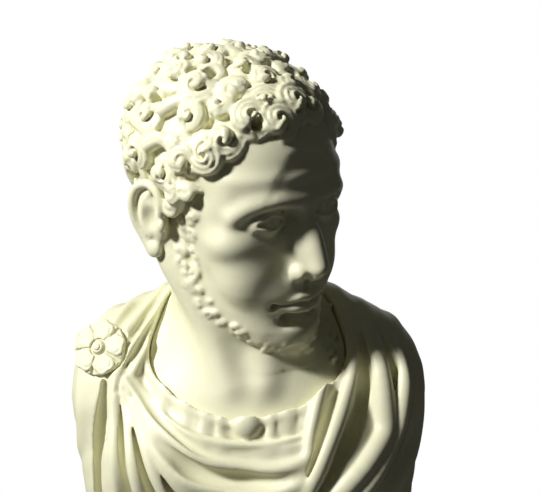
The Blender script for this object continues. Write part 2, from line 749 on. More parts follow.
def beard_sites(clay, random):
    """The place on the skin, the outward direction and the size of each small curl."""
    sites = []
    for side in (1, -1):
        for i, point in enumerate(flow(mirrored(BEARD_ROUTE, side), BEARD_STEPS)):
            share = i / (BEARD_STEPS - 1)
            size = np.interp(share, [0, 0.3, 0.5, 1], [12, 10, 7.5, 6.5])
            outwards = point - np.array((0, -18, -48 if share > 0.3 else -10))
            outwards /= np.linalg.norm(outwards)
            across = np.array((0, -0.85, 0.5)) if share > 0.4 else np.array((0, -1.0, 0.0))
            for row in range(BEARD_ROWS):
                spread = (row - (BEARD_ROWS - 1) / 2) * size * (1.3 if share < 0.42 else 0.9)
                place = point + across * spread + random.normal(0, BEARD_SCATTER, 3)
                skin = clay.meet(place + 40 * outwards, -outwards)
                sites.append((skin, outwards, size * random.uniform(0.72, 1.22)))
    return sites


def model_beard(clay):
    """Small curls from the temples down in front of the ears and along the edge of the jaw."""
    random = np.random.default_rng(SEED + 1)
    for skin, outwards, size in beard_sites(clay, random):
        small_curl(clay, skin - 0.4 * size * outwards, outwards, size, random.uniform(0, 2 * math.pi),
                   random.choice([-1, 1]))


HEAD_PITCH = 1.15
CARVED_TRIANGLES = 195000


def make_head():
    clay = Clay((-122, -130, -226), (122, 126, 136), COARSE * HEAD_PITCH)
    model_skull(clay)
    model_jaw_and_cheeks(clay)
    model_brow_and_sockets(clay)
    model_nose(clay)
    model_mouth(clay)
    model_eyes(clay)
    model_neck(clay)
    model_ears(clay)
    model_hair(clay)
    model_beard(clay)
    clay.soften(1)
    return cast(clay, "carved_head", CARVED_TRIANGLES, (HEAD_AXES, HEAD_MIDDLE))


# ---------------------------------------------------------------- the draped bust
CLOAK_THICKNESS = 5
# The cloak's opening over the chest, from the neck's right side down the hem and up to its left side.
CLOAK_OPENING = [
    (-0.43, 1.5), (-0.45, 0.99), (-0.55, 0.93), (-0.66, 0.86), (-0.68, 0.82), (-0.58, 0.775), (-0.44, 0.73),
    (-0.29, 0.695), (-0.09, 0.675), (0.12, 0.675), (0.31, 0.69), (0.37, 0.77), (0.41, 0.82), (0.47, 0.875),
    (0.5, 0.95), (0.5, 1.5),
]

# A fold or hollow: its radius, its middle's height over the torso, its blend and its route in shares.
TUNIC_FOLDS = [
    (4.0, 1, 3, [(-0.5, 0.99), (-0.57, 0.915), (-0.59, 0.86), (-0.6, 0.79)]),
    (3.5, 2, 2.5, [(-0.54, 0.99), (-0.61, 0.915), (-0.635, 0.87), (-0.65, 0.81)]),
    (8.0, -5, 7, [(-0.44, 0.85), (-0.42, 0.79), (-0.45, 0.75), (-0.51, 0.69)]),
    (8.5, -5, 7, [(-0.33, 0.84), (-0.31, 0.76), (-0.34, 0.67)]),
    (8.0, -5, 7, [(-0.2, 0.82), (-0.21, 0.74), (-0.24, 0.65)]),
    (5.0, -2, 5, [(-0.1, 0.80), (-0.14, 0.725), (-0.13, 0.65)]),
    (6.0, -2, 5, [(0.09, 0.80), (0.13, 0.735), (0.13, 0.65)]),
    (9.0, -5, 7, [(0.21, 0.82), (0.22, 0.74), (0.21, 0.65)]),
    (8.0, -4, 7, [(0.32, 0.83), (0.32, 0.75), (0.30, 0.66)]),
]
TUNIC_CREASES = [
    (1.8, 3, 1.5, [(-0.38, 0.80), (-0.37, 0.77), (-0.43, 0.70)]),
    (1.6, 3, 2, [(-0.27, 0.785), (-0.25, 0.75), (-0.27, 0.68)]),
    (2.0, 3, 2, [(-0.15, 0.755), (-0.17, 0.73), (-0.17, 0.68)]),
    (2.4, 2.5, 1.5, [(-0.07, 0.745), (-0.095, 0.72), (-0.08, 0.67)]),
    (2.4, 2.5, 1.5, [(0.07, 0.75), (0.095, 0.72), (0.08, 0.67)]),
    (1.6, 3, 1, [(0.155, 0.765), (0.165, 0.73), (0.165, 0.67)]),
    (1.6, 3, 1, [(0.265, 0.785), (0.275, 0.74), (0.26, 0.67)]),
    (2.6, 5, 2, [(-0.48, 0.99), (-0.545, 0.915), (-0.565, 0.865), (-0.57, 0.79)]),
    (2.4, 5, 2, [(-0.52, 0.99), (-0.595, 0.915), (-0.615, 0.865), (-0.63, 0.80)]),
]
TUNIC_KNOT = (0, 0.717)  # a soft knob where the tunic is gathered
TUNIC_KNOT_RADIUS = 12.5

CLOAK_FOLDS = [
    # hem across the chest, the rolled edge of the swag and its belly
    (3.4, 4, 2.5, [(-0.56, 0.77), (-0.44, 0.73), (-0.29, 0.695), (-0.09, 0.675), (0.12, 0.675),
                   (0.37, 0.70)]),
    (7.0, 6, 5, [(-0.74, 0.84), (-0.65, 0.80), (-0.55, 0.755), (-0.46, 0.715), (-0.35, 0.675),
                 (-0.26, 0.645), (-0.09, 0.622), (0.11, 0.612), (0.29, 0.632), (0.42, 0.68)]),
    (15, 0, 12, [(-0.68, 0.76), (-0.45, 0.655), (-0.3, 0.595), (-0.1, 0.56), (0.1, 0.553), (0.3, 0.575),
                 (0.5, 0.64)]),
    # folds that fan out below the brooch
    (13, -5, 6, [(-0.89, 0.84), (-0.89, 0.68), (-0.92, 0.5), (-0.92, 0.3)]),
    (6.5, 6, 3, [(-0.72, 0.84), (-0.72, 0.70), (-0.70, 0.5), (-0.64, 0.24)]),
    (6.5, 6, 3, [(-0.70, 0.82), (-0.63, 0.68), (-0.57, 0.53), (-0.47, 0.34), (-0.36, 0.16)]),
    (6.5, 6, 3, [(-0.68, 0.82), (-0.55, 0.675), (-0.43, 0.54), (-0.28, 0.39), (-0.10, 0.24)]),
    (7.0, 5, 5, [(-0.66, 0.82), (-0.5, 0.685), (-0.33, 0.555), (-0.16, 0.48), (0.06, 0.455),
                 (0.26, 0.48), (0.46, 0.56)]),
    (9.0, 2, 8, [(-0.58, 0.56), (-0.32, 0.405), (-0.08, 0.36), (0.16, 0.37), (0.4, 0.46)]),
    (9.0, 2, 8, [(-0.46, 0.37), (-0.14, 0.26), (0.08, 0.25), (0.34, 0.34)]),
    (8.0, 1, 8, [(-0.3, 0.24), (-0.05, 0.165), (0.2, 0.18)]),
    # folds that fall from the left shoulder towards the middle
    (5.0, 5, 3, [(0.51, 0.93), (0.43, 0.83), (0.38, 0.77), (0.345, 0.71), (0.325, 0.65), (0.28, 0.57)]),
    (8.0, 6, 4, [(0.61, 0.91), (0.57, 0.82), (0.52, 0.76), (0.44, 0.68), (0.37, 0.6), (0.29, 0.52),
                 (0.18, 0.42), (0.02, 0.26)]),
    (11.5, 5.5, 4, [(0.6, 0.98), (0.69, 0.88), (0.73, 0.82), (0.75, 0.72), (0.74, 0.66), (0.65, 0.61),
                    (0.48, 0.53), (0.33, 0.43), (0.2, 0.31), (0.08, 0.14)]),
    (9.0, 9, 3, [(0.82, 0.93), (0.86, 0.83), (0.86, 0.76), (0.82, 0.66), (0.7, 0.58), (0.55, 0.5),
                 (0.41, 0.4), (0.3, 0.29), (0.2, 0.14)]),
    (12, -1, 4, [(0.93, 0.86), (0.95, 0.75), (0.94, 0.64), (0.86, 0.54), (0.68, 0.44), (0.52, 0.34),
                 (0.36, 0.2)]),
    (9.0, -1, 5, [(0.95, 0.58), (0.88, 0.46), (0.76, 0.37), (0.56, 0.26)]),
]
SHOULDER_FOLDS = [
    # folds drawn up from the brooch over the right shoulder to the neck
    (4.5, 6, 2.5, [(-0.82, -0.5), (-0.72, -0.36), (-0.63, -0.16), (-0.55, 0.06), (-0.47, 0.36)]),
    (4.5, 5, 2.5, [(-0.78, -0.54), (-0.67, -0.42), (-0.59, -0.25), (-0.51, -0.03), (-0.44, 0.26)]),
    (4.5, 4, 2.5, [(-0.75, -0.6), (-0.63, -0.49), (-0.56, -0.34), (-0.49, -0.14), (-0.42, 0.14)]),
    (5.0, 4, 3, [(-0.88, -0.48), (-0.79, -0.24), (-0.71, 0.0), (-0.63, 0.26), (-0.54, 0.56)]),
    (5.5, 3, 3, [(-0.95, -0.34), (-0.88, -0.08), (-0.8, 0.18), (-0.7, 0.44), (-0.58, 0.7)]),
    # over the left shoulder
    (5.5, 1, 4, [(0.57, -0.5), (0.56, -0.1), (0.53, 0.2), (0.45, 0.56)]),
    (7.0, -1, 5, [(0.68, -0.5), (0.68, -0.1), (0.64, 0.25), (0.55, 0.66)]),
    (7.0, -1, 5, [(0.84, -0.44), (0.84, 0.0), (0.77, 0.36), (0.66, 0.7)]),
]
BACK_FOLDS = [
    (10, 2, 6, [(-0.6, 0.89), (-0.35, 0.84), (0, 0.82), (0.35, 0.84), (0.6, 0.89)]),
    (10, 2, 6, [(-0.8, 0.8), (-0.42, 0.73), (0, 0.7), (0.42, 0.73), (0.8, 0.8)]),
    (9, 2, 6, [(-0.88, 0.68), (-0.46, 0.6), (0, 0.57), (0.46, 0.6), (0.88, 0.68)]),
]
BACK_SIDE_ROUTE = [(0.82, 0.82), (0.86, 0.64), (0.84, 0.46), (0.76, 0.26)]
BACK_FOLDS += [(9, -1, 8, [(side * across, up) for across, up in BACK_SIDE_ROUTE]) for side in (-1, 1)]
CLOAK_HOLLOWS = [
    (4.5, 7, 4, [(-0.7, 0.84), (-0.64, 0.815), (-0.56, 0.775), (-0.47, 0.735), (-0.39, 0.705),
                 (-0.31, 0.68), (-0.2, 0.655), (-0.05, 0.645)]),
    (8.0, 7.5, 7, [(-0.5, 0.69), (-0.4, 0.655), (-0.3, 0.62), (-0.19, 0.597), (-0.05, 0.587), (0.14, 0.583),
                   (0.3, 0.605)]),
    (8.0, -1, 2, [(-0.775, 0.83), (-0.8, 0.69), (-0.82, 0.55), (-0.82, 0.4), (-0.78, 0.22)]),
    (4.5, 3, 2.5, [(-0.70, 0.78), (-0.67, 0.66), (-0.635, 0.53), (-0.54, 0.26)]),
    (4.5, 3, 2.5, [(-0.67, 0.78), (-0.57, 0.64), (-0.49, 0.52), (-0.32, 0.30)]),
    (5.0, 3.5, 3, [(-0.63, 0.77), (-0.46, 0.60), (-0.34, 0.50), (-0.12, 0.36)]),
    (4.0, 5, 4, [(0.56, 0.91), (0.49, 0.80), (0.43, 0.72), (0.37, 0.65), (0.28, 0.53)]),
    (7.5, 1, 3, [(0.63, 0.93), (0.645, 0.86), (0.64, 0.79), (0.60, 0.72), (0.50, 0.64), (0.38, 0.55),
                 (0.22, 0.41)]),
    (8.5, -1, 2, [(0.72, 0.95), (0.80, 0.83), (0.815, 0.72), (0.80, 0.64), (0.67, 0.565),
                  (0.52, 0.485), (0.34, 0.35)]),
    (6.5, 2, 2.5, [(0.9, 0.9), (0.91, 0.78), (0.88, 0.69), (0.81, 0.595), (0.66, 0.5), (0.46, 0.38)]),
]
SHOULDER_HOLLOWS = [
    (3.2, 7, 2.5, [(-0.76, -0.53), (-0.64, -0.33), (-0.56, -0.12), (-0.45, 0.22)]),
    (3.2, 6, 2.5, [(-0.72, -0.58), (-0.61, -0.41), (-0.53, -0.22), (-0.44, 0.08)]),
    (4.0, 6, 3, [(-0.84, -0.46), (-0.75, -0.3), (-0.67, -0.08), (-0.58, 0.2), (-0.5, 0.5)]),
]


FOLD_STEPS = 34


def press_folds(clay, side, folds, carve=False):
    """Presses folds on from one side, or carves hollows, that die away at both ends."""
    along = np.linspace(0, 1, FOLD_STEPS)
    full = np.sin(math.pi * along) ** (0.7 if carve else 0.35)
    for radius, lift, blend, route in folds:
        path, met = laid(route, side, np.zeros(FOLD_STEPS))
        if side == "front":
            met &= path[:, 1] < 0  # it ends where the shoulder turns over to the back
        lifts = lift + radius * (1 - full) * (0.8 if carve else -0.5)
        path, met = laid(flow(route, FOLD_STEPS)[met], side, lifts)
        swelling = 1 + 0.07 * np.sin(15 * along + 9 * radius)
        clay.strand(path[met], (np.maximum(full, 0.15) * radius * swelling)[met], blend, carve)


def outline_distance(outline, across, up):
    """How far points of a plane lie outside a closed outline."""
    corners = np.array(outline, float)
    inside = np.zeros(np.broadcast(across, up).shape, bool)
    nearest = np.full(inside.shape, 1e9)
    for (ax, ay), (bx, by) in zip(corners, np.roll(corners, -1, 0)):
        t = ((across - ax) * (bx - ax) + (up - ay) * (by - ay)) / ((bx - ax) ** 2 + (by - ay) ** 2)
        t = np.clip(t, 0, 1)
        nearest = np.minimum(nearest, np.hypot(across - ax - t * (bx - ax), up - ay - t * (by - ay)))
        if ay != by:
            crosses = ((ay > up) != (by > up)) & (across < (bx - ax) * (up - ay) / (by - ay) + ax)
            inside ^= crosses
    return np.where(inside, -nearest, nearest)


def drape_cloak(clay):
    """The cloak's own thickness over the tunic, open over the chest."""
    _, (x, y, z) = clay.part(clay.low, clay.low + clay.pitch * clay.count, 0)
    opening = np.array(CLOAK_OPENING) * (BUST_HALF_WIDTH, BUST_HEIGHT) + (0, BUST_BOTTOM)
    outline = flow(np.vstack([opening, opening[:1]]), 90)[:-1]
    outside = outline_distance(outline, x[:, 0, :], z[0, 0, :][None, :])[:, None, :]
    behind = np.clip((y + 5) * 3, 0, 60)  # the opening fades out behind the shoulders' tops
    cloak = soft_max(clay.field - CLOAK_THICKNESS, (-outside - behind).astype(np.float32), 4)
    clay.field = soft_union(clay.field, cloak, 1.0).astype(np.float32)


HEM_RADIUS = 2.6
HEM_STAND_OFF = 2.5  # outwards from the neckline


def hem_neckline(clay):
    """The tunic's rolled hem round the bare chest."""
    grow = 1 + HEM_STAND_OFF / NECKLINE_HALF_WIDTH
    outline = neckline_outline()[::4] * grow
    starts = neckline_middle + np.outer(outline[:, 0], (1, 0, 0)) + np.outer(outline[:, 1], tilt_along)
    path, met = lay(starts + 120 * tilt_up, -tilt_up, 0.5)
    clay.strand(np.vstack([path[met], path[met][:1]]), HEM_RADIUS, 4)


def waves(x, y, z):
    """Slow unevenness of carved cloth."""
    slow = np.sin(0.061 * x + 0.043 * z + 1.0) * np.sin(0.055 * z - 0.032 * x + 0.05 * y)
    quick = np.sin(0.17 * x - 0.11 * z) * np.sin(0.13 * z + 0.09 * x + 0.12 * y + 2.0)
    return 0.8 * slow + 0.35 * quick


# ---------------------------------------------------------------- its foot, hollows and joints
BROOCH_RADIUS = 26
BROOCH_FACING = (-0.3, -0.82, 0.48)
BROOCH_OUTWARDS = np.array(BROOCH_FACING) / math.hypot(*BROOCH_FACING)
PEG_MIDDLE_BELOW_SEAT = 7.8
PEG_TOP = 5.2  # over the seat
PEG_HOLE_DEPTH = 20.8 + HOLE_SPARE
PEG_HOLE_RADIUS = 4 + HOLE_SPARE
SEAT_SPARE = 1.6  # round the rim of the petals
ROD_HOLE_SPARE = 4  # over the end of the rod
peg_low, peg_high = (np.array(corner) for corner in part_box("brooch_peg"))
brooch_seat = (peg_low + peg_high) / 2 / MM + PEG_MIDDLE_BELOW_SEAT * BROOCH_OUTWARDS


APRON_LOWEST = 0.11  # share of the height
APRON_RISE = 0.2  # share of the height, from the middle to an arm
SIDE_HOLLOW = np.array((0.29, 1, 0.38))  # shares of half width, half depth and height
MIDDLE_HOLLOW = np.array((0.4, 0.75, 0.36))


def carve_below(clay):
    """The apron's lower edge, which rises towards the arms, and the hollows behind."""
    lowest, rise = BUST_BOTTOM + APRON_LOWEST * BUST_HEIGHT, APRON_RISE * BUST_HEIGHT
    below = (clay.low, clay.low + clay.pitch * clay.count,
             lambda x, y, z: (z - lowest - rise * (x / BUST_HALF_WIDTH) ** 2) * 0.8 + 0 * y)
    clay.carve(below, 4)
    sizes = np.array((BUST_HALF_WIDTH, BUST_HALF_DEPTH, BUST_HEIGHT))
    for place in pairs(0.51, 0.62, 0.3):
        clay.carve(egg(on_bust(*place), SIDE_HOLLOW * sizes), 6)
    clay.carve(egg(on_bust(0, 1.3, 0.3), MIDDLE_HOLLOW * sizes), 6)


FOOT_RADIUS = 46
PILLAR_RADIUS = 34
FOOT_THICKNESS = 10


def turned_foot():
    """The round foot and the pillar that stands on it, as one turned form."""
    heights = BUST_BOTTOM + np.array([0, FOOT_THICKNESS, FOOT_THICKNESS + 3, FOOT_THICKNESS + 9,
                                      FOOT_THICKNESS + 18, 0.3 * BUST_HEIGHT, 0.45 * BUST_HEIGHT])
    radii = [FOOT_RADIUS, FOOT_RADIUS, FOOT_RADIUS - 7, PILLAR_RADIUS + 1.5, PILLAR_RADIUS, PILLAR_RADIUS,
             PILLAR_RADIUS * 1.2]

    def distance(x, y, z):
        radius = np.interp(z, heights, radii)
        return np.maximum(np.hypot(x, y) - radius, np.maximum(heights[0] - z, z - heights[-1]))

    reach = FOOT_RADIUS + 4
    return (-reach, -reach, heights[0]), (reach, reach, heights[-1]), distance


def carve_joints(clay, everywhere):
    """The well for the tenon, the holes for the dowel, the peg and the rod, and the seat of the brooch."""
    clay.carve((*everywhere, well(1.5 * GAP)[2]), 0.5)
    clay.carve(drum(*dowel_hole()))
    clay.carve(drum(brooch_seat - PEG_HOLE_DEPTH * BROOCH_OUTWARDS, brooch_seat, PEG_HOLE_RADIUS))
    bush, rod = np.array(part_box("rod_bush")) / MM, np.array(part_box("swivel_rod")) / MM
    clay.carve(drum((0, 0, bush[0][2] - 1), (0, 0, rod[1][2] + ROD_HOLE_SPARE), bush[1][0] + GAP))
    seat_floor = brooch_seat - 2 * GAP * BROOCH_OUTWARDS
    clay.carve(drum(seat_floor, brooch_seat + 40 * BROOCH_OUTWARDS, BROOCH_RADIUS + SEAT_SPARE), 0.5)


BUST_PITCH = 1.4


def make_bust():
    low, high = (-182, -130, BUST_BOTTOM - 6), (182, 126, BUST_BOTTOM + BUST_HEIGHT + 30)
    clay = Clay(low, high, COARSE * BUST_PITCH)
    everywhere = (clay.low, clay.low + clay.pitch * clay.count)
    _, points = clay.part(*everywhere, 0)
    clay.field = (torso_distance(*points) + waves(*points)).astype(np.float32)
    press_folds(clay, "front", TUNIC_FOLDS)
    press_folds(clay, "front", TUNIC_CREASES, carve=True)
    knot = lay([on_bust(TUNIC_KNOT[0], -3, TUNIC_KNOT[1])], (0, 1, 0))[0][0]
    clay.press(egg(knot, (TUNIC_KNOT_RADIUS, TUNIC_KNOT_RADIUS * 0.65, TUNIC_KNOT_RADIUS)), 1.5)
    drape_cloak(clay)
    press_folds(clay, "front", CLOAK_FOLDS)
    press_folds(clay, "above", SHOULDER_FOLDS)
    press_folds(clay, "back", BACK_FOLDS)
    press_folds(clay, "front", CLOAK_HOLLOWS, carve=True)
    press_folds(clay, "above", SHOULDER_HOLLOWS, carve=True)
    hem_neckline(clay)
    carve_below(clay)
    clay.press(turned_foot(), 6)
    clay.soften(1)  # before the joints, whose edges stay crisp
    carve_joints(clay, everywhere)
    return cast(clay, "carved_bust", CARVED_TRIANGLES)


# ---------------------------------------------------------------- the brooch
BROOCH_THICKNESS = 11
BROOCH_PITCH = 0.45
BROOCH_TRIANGLES = 60000
PETALS = 5
PETAL_RING = 15  # the radius at which the petals' middles stand
PETAL_RADIUS = 9.5
PETAL_RIM_RADIUS = 8.6


def press_petal(clay, index):
    """A cupped petal with a rippled, rolled rim, and the groove that parts it from the next."""
    angle = 2 * math.pi * (index + 0.2) / PETALS
    across = np.array((math.cos(angle), math.sin(angle), 0))
    aside = np.array((-math.sin(angle), math.cos(angle), 0))
    middle = PETAL_RING * across + np.array((0, 0, 4.2))
    clay.press(egg(middle, (PETAL_RADIUS, PETAL_RADIUS, 4.6)), 0.8)
    bearings = np.linspace(-2.5, 2.5, 22)
    ripples = 1 + 0.09 * np.sin(5 * bearings + index)
    rim = [middle + PETAL_RIM_RADIUS * ripple * (math.cos(t) * across + math.sin(t) * aside)
           + np.array((0, 0, 1.6 - 1.2 * abs(math.sin(t / 2)))) for ripple, t in zip(ripples, bearings)]
    clay.strand(np.array(rim), 1.9, 0.8)
    clay.carve(egg(middle + np.array((0, 0, 6.2)) + 0.5 * across, (6.4, 6.4, 2.8)), 2.5)
    gap = 2 * math.pi * (index + 0.7) / PETALS
    out = np.array((math.cos(gap), math.sin(gap), 0))
    groove = [8 * out + (0, 0, 7.5), 17 * out + (0, 0, 6), 26 * out + (0, 0, 3.5)]
    clay.strand(groove, [1.0, 1.5, 2.0], 0.9, carve=True)


def make_brooch():
    """A rosette of five curled petals round a small boss, flat behind, with a hole for its peg."""
    reach = BROOCH_RADIUS + 2
    clay = Clay((-reach, -reach, -1), (reach, reach, BROOCH_THICKNESS + 4), COARSE * BROOCH_PITCH)
    clay.press(drum((0, 0, 0.1), (0, 0, 4.5), BROOCH_RADIUS - 2), 0)
    clay.press(egg((0, 0, 2.5), (BROOCH_RADIUS - 1.5, BROOCH_RADIUS - 1.5, 5.5)), 1)
    for i in range(PETALS):
        press_petal(clay, i)
    # the boss in its hollow, with a ring cut in its top
    clay.carve(drum((0, 0, 5.5), (0, 0, 20), 8), 1.0)
    clay.press(egg((0, 0, 5), (6.6, 6.6, 5.6)), 0.6)
    bearings = np.linspace(0, 2 * math.pi, 25)
    ring = np.column_stack([3.6 * np.cos(bearings), 3.6 * np.sin(bearings), 9.6 + 0 * bearings])
    clay.strand(ring, 0.6, 0.5, carve=True)
    # the flat back and the peg's hole
    clay.carve(drum((0, 0, -6), (0, 0, 0.1), BROOCH_RADIUS + 8))
    clay.carve(drum((0, 0, -2), (0, 0, PEG_TOP + GAP), PEG_HOLE_RADIUS))
    side = np.cross((0, 0, 1), BROOCH_OUTWARDS)
    side /= np.linalg.norm(side)
    axes = np.column_stack([side, np.cross(BROOCH_OUTWARDS, side), BROOCH_OUTWARDS])
    return cast(clay, "rosette_brooch", BROOCH_TRIANGLES, (axes, brooch_seat))


# ---------------------------------------------------------------- the stand
SOCLE_FOOT_RADIUS = 84
SOCLE_WAIST_RADIUS = 45
SOCLE_TOP_RADIUS = 60
ROD_HOLE_RADIUS = 8.3
SOCLE_RECESS = (17.8, 8.6)  # radius and depth round the upper nut
PLINTH_RECESS = (20, 17.9)  # radius and depth round the lower washer and nut
PLINTH_MARGIN = 0.0035  # metres, round the sunk top
PLINTH_STEP = 0.0022  # metres, down to the sunk top
PLINTH_EASE = 0.0011  # metres, off the edges
TURNED_SIDES = 96


def arc(middle, reach, start, end, steps):
    """Points of a quarter or half round, as (radius, height)."""
    angles = np.radians(np.linspace(start, end, steps + 1))
    return [(middle[0] + reach[0] * math.cos(a), middle[1] + reach[1] * math.sin(a)) for a in angles]


def turn_piece(name, outline):
    """Draws a ring out along a closed outline of (radius, height) in millimetres."""
    radius, height = outline[0]
    clear_selection()
    bpy.ops.mesh.primitive_circle_add(vertices=TURNED_SIDES, radius=radius * MM,
                                      location=(0, 0, height * MM))
    piece = bpy.context.object
    piece.name = piece.data.name = name
    bpy.ops.object.transform_apply(location=True, rotation=True, scale=True)
    bpy.ops.object.mode_set(mode="EDIT")
    bpy.ops.mesh.select_all(action="SELECT")
    for next_radius, next_height in outline[1:] + outline[:1]:
        rise = (next_height - height) * MM
        bpy.ops.mesh.extrude_region_move(TRANSFORM_OT_translate={"value": (0, 0, rise)})
        share = next_radius / radius
        bpy.ops.transform.resize(value=(share, share, 1), center_override=(0, 0, next_height * MM))
        radius, height = next_radius, next_height
    bpy.ops.mesh.select_all(action="SELECT")
    bpy.ops.mesh.remove_doubles(threshold=1e-5)
    bpy.ops.mesh.normals_make_consistent(inside=False)
    bpy.ops.object.mode_set(mode="OBJECT")
    choose(piece)
    bpy.ops.object.shade_smooth_by_angle(angle=math.radians(32))
    return piece


def make_socle():
    """Torus, fillet, hollow, bead and a flared top with a softened edge, bored for the rod."""
    low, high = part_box("socle")
    bottom, top = low[2] / MM, high[2] / MM
    tall = top - bottom
    torus, bead, cap = tall * 0.1, tall * 0.035, tall * 0.12
    torus_top = bottom + 2 * torus
    fillet_top = torus_top + bead
    bead_middle = top - cap - tall * 0.2
    hollow_foot = SOCLE_FOOT_RADIUS - 1.6 * torus
    edge = 1.2
    recess_radius, recess_depth = SOCLE_RECESS
    outline = [(ROD_HOLE_RADIUS, bottom)]
    outline += arc((SOCLE_FOOT_RADIUS - torus, bottom + torus), (torus, torus), -90, 90, 18)
    outline += [(hollow_foot + edge / 2, torus_top), (hollow_foot, torus_top + edge / 2),
                (hollow_foot, fillet_top - edge)]
    outline += arc((hollow_foot, bead_middle - bead),
                   (SOCLE_WAIST_RADIUS - hollow_foot, fillet_top - bead_middle + bead), 82, 0, 20)
    outline += arc((SOCLE_WAIST_RADIUS, bead_middle), (bead, bead), -70, 80, 10)
    outline += arc((SOCLE_TOP_RADIUS, bead_middle + bead),
                   (SOCLE_WAIST_RADIUS - SOCLE_TOP_RADIUS, top - cap - bead_middle - bead), 0, 80, 14)
    outline += [(SOCLE_TOP_RADIUS, top - cap)]
    outline += arc((SOCLE_TOP_RADIUS - edge, top - edge), (edge, edge), 0, 90, 4)
    outline += [(recess_radius, top), (recess_radius, top - recess_depth),
                (ROD_HOLE_RADIUS, top - recess_depth)]
    return turn_piece("turned_socle", outline)


def bore(piece, radius, bottom, top):
    """Cuts a round hole up the rod's axis."""
    clear_selection()
    bpy.ops.mesh.primitive_cylinder_add(vertices=64, radius=radius * MM, depth=(top - bottom) * MM,
                                        location=(0, 0, (top + bottom) / 2 * MM))
    drill = bpy.context.object
    choose(piece)
    cut = piece.modifiers.new("bore", "BOOLEAN")
    cut.operation = "DIFFERENCE"
    cut.object = drill
    bpy.ops.object.modifier_apply(modifier=cut.name)
    bpy.data.objects.remove(drill)


def make_plinth():
    """A square slab with eased edges and a small cove worked round its top."""
    low, high = (np.array(corner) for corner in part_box("plinth"))
    size, middle = high - low, (high + low) / 2
    clear_selection()
    bpy.ops.mesh.primitive_cube_add(size=1, location=middle)
    piece = bpy.context.object
    piece.name = piece.data.name = "square_plinth"
    piece.scale = size
    bpy.ops.object.transform_apply(location=True, rotation=True, scale=True)
    bpy.ops.object.mode_set(mode="EDIT")
    bpy.ops.mesh.select_all(action="DESELECT")
    bpy.ops.object.mode_set(mode="OBJECT")
    for face in piece.data.polygons:
        face.select = face.normal.z > 0.9
    bpy.ops.object.mode_set(mode="EDIT")
    bpy.ops.mesh.select_mode(type="FACE")
    for step_in, step_down in ((PLINTH_MARGIN, 0.0), (0.0, -PLINTH_STEP)):
        bpy.ops.mesh.inset(thickness=step_in, depth=step_down)
    bpy.ops.object.mode_set(mode="OBJECT")
    ease = piece.modifiers.new("ease", "BEVEL")
    ease.width = PLINTH_EASE
    ease.segments = 3
    ease.limit_method = "ANGLE"
    apply_modifiers(piece)
    bottom, top = low[2] / MM, high[2] / MM
    bore(piece, ROD_HOLE_RADIUS, bottom - 2, top + 2)
    bore(piece, PLINTH_RECESS[0], bottom - 2, bottom + PLINTH_RECESS[1])
    bpy.ops.object.shade_smooth_by_angle(angle=math.radians(32))
    return piece


# ---------------------------------------------------------------- finishes
def node(tree, kind, inputs=None, **settings):
    """Adds a node; an input is a plain value or the socket that feeds it."""
    new = tree.nodes.new(kind)
    for name, value in settings.items():
        setattr(new, name, value)
    for name, value in (inputs or {}).items():
        if isinstance(value, bpy.types.NodeSocket):
            tree.links.new(value, new.inputs[name])
        else:
            new.inputs[name].default_value = value
    return new


def shader_group(name, inputs, outputs):
    group = bpy.data.node_groups.new(name, "ShaderNodeTree")
    for label, value in inputs:
        socket = group.interface.new_socket(label, in_out="INPUT", socket_type="NodeSocketFloat")
        socket.default_value = value
    for label in outputs:
        group.interface.new_socket(label, in_out="OUTPUT", socket_type="NodeSocketFloat")
    start = group.nodes.new("NodeGroupInput")
    end = group.nodes.new("NodeGroupOutput")
    return group, start.outputs, end.inputs


def remap(tree, value, low, high, to_low=0.0, to_high=1.0):
    inputs = {"Value": value, "From Min": low, "From Max": high, "To Min": to_low, "To Max": to_high}
    return node(tree, "ShaderNodeMapRange", inputs).outputs["Result"]


def worked(tree, operation, first, second=0.0):
    return node(tree, "ShaderNodeMath", {0: first, 1: second}, operation=operation).outputs[0]


def noise(tree, place, scale, detail, roughness=0.5, distortion=0.0):
    """The value of a noise pattern at a place."""
    inputs = {"Vector": place, "Scale": scale, "Detail": detail, "Roughness": roughness,
              "Distortion": distortion}
    return node(tree, "ShaderNodeTexNoise", inputs).outputs["Fac"]


def stone_group():
    """Clouds, veins, dust in the creases, worn edges and fine grain of a carved stone."""
    group, given, out = shader_group(
        "carved_stone", [("Cloud Scale", 9.0), ("Vein Scale", 4.0), ("Grain Scale", 900.0)],
        ["Cloud", "Vein", "Crease", "Edge", "Grain"])
    place = node(group, "ShaderNodeTexCoord").outputs["Object"]
    cloud = noise(group, place, given["Cloud Scale"], 6.0, 0.6, 0.8)
    group.links.new(remap(group, cloud, 0.33, 0.68), out["Cloud"])
    drift = noise(group, place, given["Vein Scale"], 8.0, 0.65, 2.2)
    thin = worked(group, "ABSOLUTE", worked(group, "SUBTRACT", drift, 0.5))
    group.links.new(remap(group, thin, 0.0, 0.03, 1.0, 0.0), out["Vein"])
    bend = node(group, "ShaderNodeNewGeometry").outputs["Pointiness"]
    group.links.new(remap(group, bend, 0.49, 0.43), out["Crease"])
    group.links.new(remap(group, bend, 0.52, 0.60), out["Edge"])
    group.links.new(noise(group, place, given["Grain Scale"], 3.0), out["Grain"])
    return group


